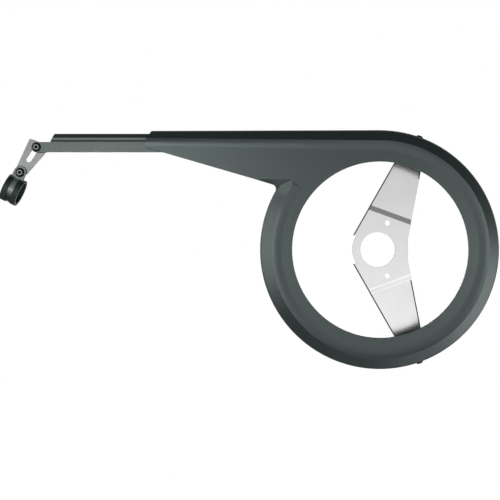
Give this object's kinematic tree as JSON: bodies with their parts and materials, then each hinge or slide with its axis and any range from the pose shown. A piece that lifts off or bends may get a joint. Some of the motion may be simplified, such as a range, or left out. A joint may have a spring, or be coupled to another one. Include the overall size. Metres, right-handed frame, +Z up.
{
  "type": "bicycle chain guard",
  "caption": "Ring-shaped chain guard with a tapered arm, sliding rear extension, steel bottom bracket plate, slotted strut and rubber-lined stay clamp.",
  "frame": {"origin": "centre of the bottom bracket hole on the plate's back face, which lies on the shell of the frame", "axes": "+X to the front of the bicycle, +Y inboard from the guard to the frame, +Z up, on the right-hand side"},
  "size_m": [0.4937, 0.0321, 0.236],
  "materials": {
    "guard_plastic": "satin, fine grain",
    "extension_plastic": "satin, fine grain",
    "plate_steel": "bright rolled",
    "strut_metal": "satin",
    "band_steel": "zinc plated",
    "black_fastener": "black oxide",
    "zinc_fastener": "zinc plated",
    "rubber": "matt"
  },
  "bodies": {
    "guard": {"guard_shell": "guard_plastic", "bottom_bracket_plate": "plate_steel", "top_guard_screw": "black_fastener", "bottom_guard_screw": "black_fastener", "top_guard_nut": "zinc_fastener", "bottom_guard_nut": "zinc_fastener"},
    "extension": {"rear_extension": "extension_plastic"},
    "strut_pivot": {"strut_bolt": "black_fastener", "strut_washer": "zinc_fastener", "strut_nut": "zinc_fastener"},
    "strut": {"stay_strut": "strut_metal"},
    "clamp": {"clamp_band": "band_steel", "clamp_rubber": "rubber", "clamp_bolt": "black_fastener", "clamp_washer": "zinc_fastener", "clamp_nut": "zinc_fastener"}
  },
  "joints": [
    {"name": "extension_slide", "type": "slide", "parent": "guard", "child": "extension", "axis": [1, 0, 0], "range_m": [-0.02, 0.03]},
    {"name": "strut_tilt", "type": "hinge", "parent": "extension", "child": "strut_pivot", "pos_m": [-0.3381, -0.0204, 0.10085], "axis": [0, 1, 0], "range_deg": [-35, 20]},
    {"name": "strut_slot_slide", "type": "slide", "parent": "strut_pivot", "child": "strut", "axis": [0.5446, 0, 0.8387], "range_m": [0, 0.008]},
    {"name": "clamp_swivel", "type": "hinge", "parent": "strut", "child": "clamp", "pos_m": [-0.35433, -0.0204, 0.07586], "axis": [0, 1, 0], "range_deg": [-25, 35]}
  ]
}
